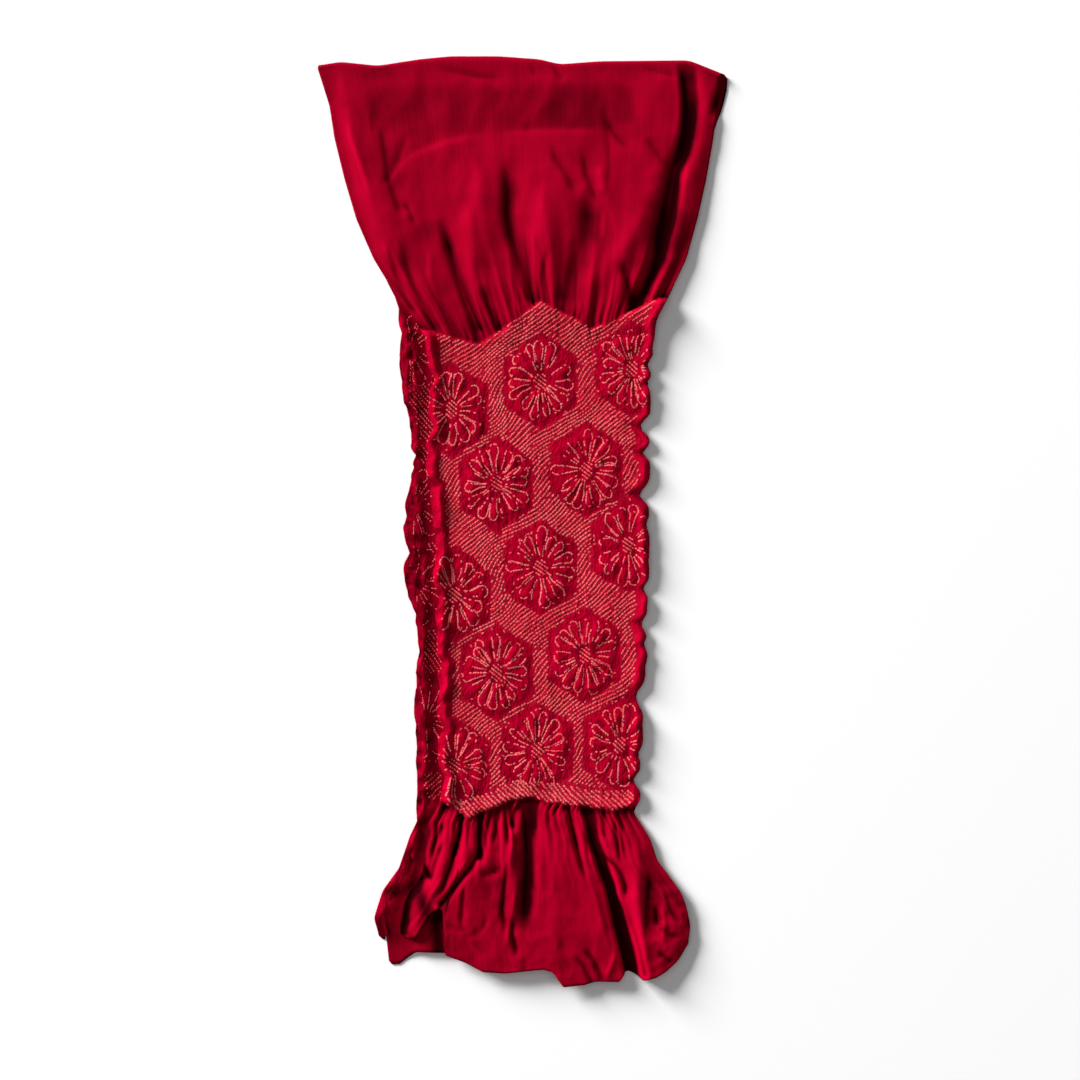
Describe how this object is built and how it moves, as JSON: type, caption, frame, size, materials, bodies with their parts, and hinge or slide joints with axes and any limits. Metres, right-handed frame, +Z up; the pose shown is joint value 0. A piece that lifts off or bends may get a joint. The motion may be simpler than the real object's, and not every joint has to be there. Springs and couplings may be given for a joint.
{
  "type": "shibori obiage",
  "caption": "Silk sash folded in half and laid flat: a wide plain middle gathers into a tied-dot panel of raised flower hexagons, then flares into a pleated plain end.",
  "frame": {"origin": "middle of the folded sash, on the surface it lies on", "axes": "+Y along the sash towards its top fold, +X to the right as seen from above, +Z up"},
  "size_m": [0.3028, 0.687, 0.0119],
  "materials": {
    "red_silk": "red silk crepe with pale tied dots"
  },
  "bodies": {
    "root": {"sash_cloth": "red_silk"}
  },
  "joints": []
}
